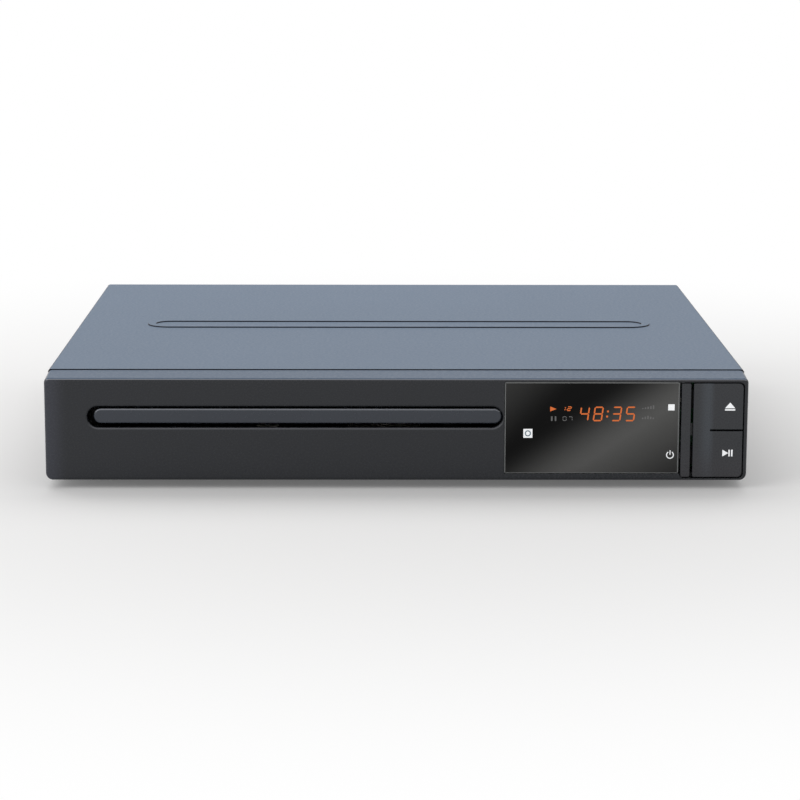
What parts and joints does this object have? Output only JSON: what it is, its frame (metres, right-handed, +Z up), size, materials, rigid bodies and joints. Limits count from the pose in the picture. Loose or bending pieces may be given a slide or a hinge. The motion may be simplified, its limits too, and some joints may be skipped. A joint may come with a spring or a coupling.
{
  "type": "disc player with tray",
  "caption": "Slim disc player with a sliding front tray, smoked display window, press keys, disc mechanism inside, and audio, video and mains sockets at the rear.",
  "frame": {"origin": "under the middle of the whole object, in the plane of the feet", "axes": "+X to the right seen from the front, +Y to the rear, +Z up; the front faces -Y"},
  "size_m": [0.225, 0.2084, 0.0376],
  "materials": {
    "bezel_plastic": "fine matt texture",
    "key_plastic": "satin",
    "cover_paint": "satin powder coat",
    "steel_sheet": "plain zinc plate",
    "rear_paint": "satin black",
    "foot_rubber": "matt",
    "smoked_window": "polished",
    "tray_plastic": "satin",
    "loader_plastic": "moulded",
    "gear_plastic": "natural acetal",
    "belt_rubber": "matt",
    "motor_steel": "plated",
    "clamp_plastic": "moulded",
    "pickup_casting": "die cast",
    "lens_glass": "coated",
    "board_green": "solder mask",
    "chip_black": "moulded",
    "capacitor_sleeve": "sleeved",
    "transformer_core": "varnished",
    "socket_metal": "nickel plate",
    "insert_plastic": "moulded",
    "screw_steel": "zinc plate",
    "plunger_plastic": "moulded",
    "ribbon_cable": "flat cable"
  },
  "bodies": {
    "casing": {"front_bezel": "bezel_plastic", "top_cover": "cover_paint", "base_chassis": "steel_sheet", "rear_panel": "rear_paint", "feet": "foot_rubber", "display_window": "smoked_window", "key_carrier": "key_plastic", "tact_switches": "chip_black", "front_board": "board_green", "front_board_screws": "screw_steel", "display_module": "loader_plastic", "ir_receiver": "chip_black", "loader_frame": "loader_plastic", "chassis_screws": "screw_steel", "drive_belt": "belt_rubber", "loading_motor": "motor_steel", "clamp_bridge": "steel_sheet", "main_board": "board_green", "power_board": "board_green", "av_board": "board_green", "board_screws": "screw_steel", "main_chips": "chip_black", "main_capacitors": "capacitor_sleeve", "power_transformer": "transformer_core", "power_capacitors": "capacitor_sleeve", "mains_inlet": "chip_black", "inlet_pins": "steel_sheet", "scart_socket": "chip_black", "hdmi_socket": "socket_metal", "rca_housing": "chip_black", "rca_jacks": "socket_metal", "rca_inserts": "insert_plastic", "cover_screws": "screw_steel", "front_ribbon": "ribbon_cable"},
    "tray": {"disc_tray": "tray_plastic", "tray_door": "tray_plastic"},
    "drive_gear": {"tray_drive_gear": "gear_plastic"},
    "belt_gear": {"pulley_gear": "gear_plastic"},
    "motor_spindle": {"motor_pulley": "gear_plastic"},
    "cam": {"cam_slider": "loader_plastic"},
    "traverse": {"traverse_frame": "loader_plastic", "spindle_motor": "motor_steel", "guide_rods": "motor_steel", "sled_motor": "motor_steel"},
    "spindle": {"turntable": "clamp_plastic"},
    "clamp": {"disc_clamp": "clamp_plastic", "clamp_yoke": "steel_sheet"},
    "pickup": {"pickup_body": "pickup_casting"},
    "lens": {"lens_holder": "clamp_plastic", "pickup_lens": "lens_glass"},
    "sled_wheel": {"sled_gear": "gear_plastic"},
    "sled_drive": {"sled_pinion": "gear_plastic"},
    "stop_button": {"stop_key": "key_plastic"},
    "power_button": {"power_key": "key_plastic"},
    "eject_button": {"eject_key": "key_plastic"},
    "play_button": {"play_pause_key": "key_plastic"},
    "stop_switch": {"stop_plunger": "plunger_plastic"},
    "power_switch": {"power_plunger": "plunger_plastic"},
    "eject_switch": {"eject_plunger": "plunger_plastic"},
    "play_switch": {"play_pause_plunger": "plunger_plastic"}
  },
  "joints": [
    {"name": "tray_slide", "type": "slide", "parent": "casing", "child": "tray", "axis": [0, -1, 0], "range_m": [0, 0.135]},
    {"name": "drive_gear_spin", "type": "hinge", "parent": "casing", "child": "drive_gear", "pos_m": [0.0185, -0.07625, 0.016], "axis": [0, 0, 1], "range_deg": [-1, 969]},
    {"name": "belt_gear_spin", "type": "hinge", "parent": "casing", "child": "belt_gear", "pos_m": [-0.00405, -0.08446, 0.014], "axis": [0, 0, 1], "range_deg": [-2903, 1]},
    {"name": "motor_pulley_spin", "type": "hinge", "parent": "casing", "child": "motor_spindle", "pos_m": [-0.042, -0.08446, 0.016], "axis": [0, 0, 1], "range_deg": [-10046, 1]},
    {"name": "traverse_drop", "type": "hinge", "parent": "casing", "child": "traverse", "pos_m": [-0.0316, 0.05575, 0.012], "axis": [1, 0, 0], "range_deg": [0, 4]},
    {"name": "cam_slide", "type": "slide", "parent": "casing", "child": "cam", "axis": [-1, 0, 0], "range_m": [0, 0.0201]},
    {"name": "turntable_spin", "type": "hinge", "parent": "traverse", "child": "spindle", "pos_m": [-0.0316, -0.03225, 0.022], "axis": [0, 0, 1], "continuous": true},
    {"name": "clamp_spin", "type": "hinge", "parent": "casing", "child": "clamp", "pos_m": [-0.0316, -0.03225, 0.03], "axis": [0, 0, 1], "continuous": true},
    {"name": "sled_slide", "type": "slide", "parent": "traverse", "child": "pickup", "axis": [0, 1, 0], "range_m": [0, 0.034]},
    {"name": "sled_gear_spin", "type": "hinge", "parent": "traverse", "child": "sled_wheel", "pos_m": [0.0008, 0.01375, 0.015], "axis": [0, 0, 1], "range_deg": [-408, 1]},
    {"name": "sled_pinion_spin", "type": "hinge", "parent": "traverse", "child": "sled_drive", "pos_m": [-0.01296, 0.02339, 0.012], "axis": [0, 0, 1], "range_deg": [-1, 1017]},
    {"name": "lens_focus", "type": "slide", "parent": "pickup", "child": "lens", "axis": [0, 0, 1], "range_m": [-0.0004, 0.0004], "stiffness_N_per_m": 40},
    {"name": "stop_press", "type": "hinge", "parent": "casing", "child": "stop_button", "pos_m": [0.0927, -0.10205, 0.0212], "axis": [-1, 0, 0], "range_deg": [0, 1.96], "stiffness_Nm_per_rad": 0.45},
    {"name": "power_press", "type": "hinge", "parent": "casing", "child": "power_button", "pos_m": [0.0927, -0.10205, 0.0172], "axis": [1, 0, 0], "range_deg": [0, 1.96], "stiffness_Nm_per_rad": 0.45},
    {"name": "eject_press", "type": "hinge", "parent": "casing", "child": "eject_button", "pos_m": [0.1004, -0.10205, 0.027], "axis": [0, 0, 1], "range_deg": [0, 2.35], "stiffness_Nm_per_rad": 0.35},
    {"name": "play_press", "type": "hinge", "parent": "casing", "child": "play_button", "pos_m": [0.1004, -0.10205, 0.0118], "axis": [0, 0, 1], "range_deg": [0, 2.35], "stiffness_Nm_per_rad": 0.35},
    {"name": "stop_switch_travel", "type": "slide", "parent": "casing", "child": "stop_switch", "axis": [0, 1, 0], "range_m": [0, 0.00026]},
    {"name": "power_switch_travel", "type": "slide", "parent": "casing", "child": "power_switch", "axis": [0, 1, 0], "range_m": [0, 0.00026]},
    {"name": "eject_switch_travel", "type": "slide", "parent": "casing", "child": "eject_switch", "axis": [0, 1, 0], "range_m": [0, 0.00026]},
    {"name": "play_switch_travel", "type": "slide", "parent": "casing", "child": "play_switch", "axis": [0, 1, 0], "range_m": [0, 0.00026]}
  ],
  "couplings": [
    {"joint": "drive_gear_spin", "follows": "tray_slide", "rad_per_m": 125},
    {"joint": "belt_gear_spin", "follows": "tray_slide", "rad_per_m": -375},
    {"joint": "motor_pulley_spin", "follows": "tray_slide", "rad_per_m": -1298.5},
    {"joint": "cam_slide", "follows": "traverse_drop", "m_per_rad": 0.28648},
    {"joint": "clamp_spin", "follows": "turntable_spin", "ratio": 1},
    {"joint": "sled_gear_spin", "follows": "sled_slide", "rad_per_m": -208.33},
    {"joint": "sled_pinion_spin", "follows": "sled_slide", "rad_per_m": 520.83},
    {"joint": "stop_switch_travel", "follows": "stop_press", "m_per_rad": 0.0073},
    {"joint": "power_switch_travel", "follows": "power_press", "m_per_rad": 0.0073},
    {"joint": "eject_switch_travel", "follows": "eject_press", "m_per_rad": 0.0061},
    {"joint": "play_switch_travel", "follows": "play_press", "m_per_rad": 0.0061}
  ]
}
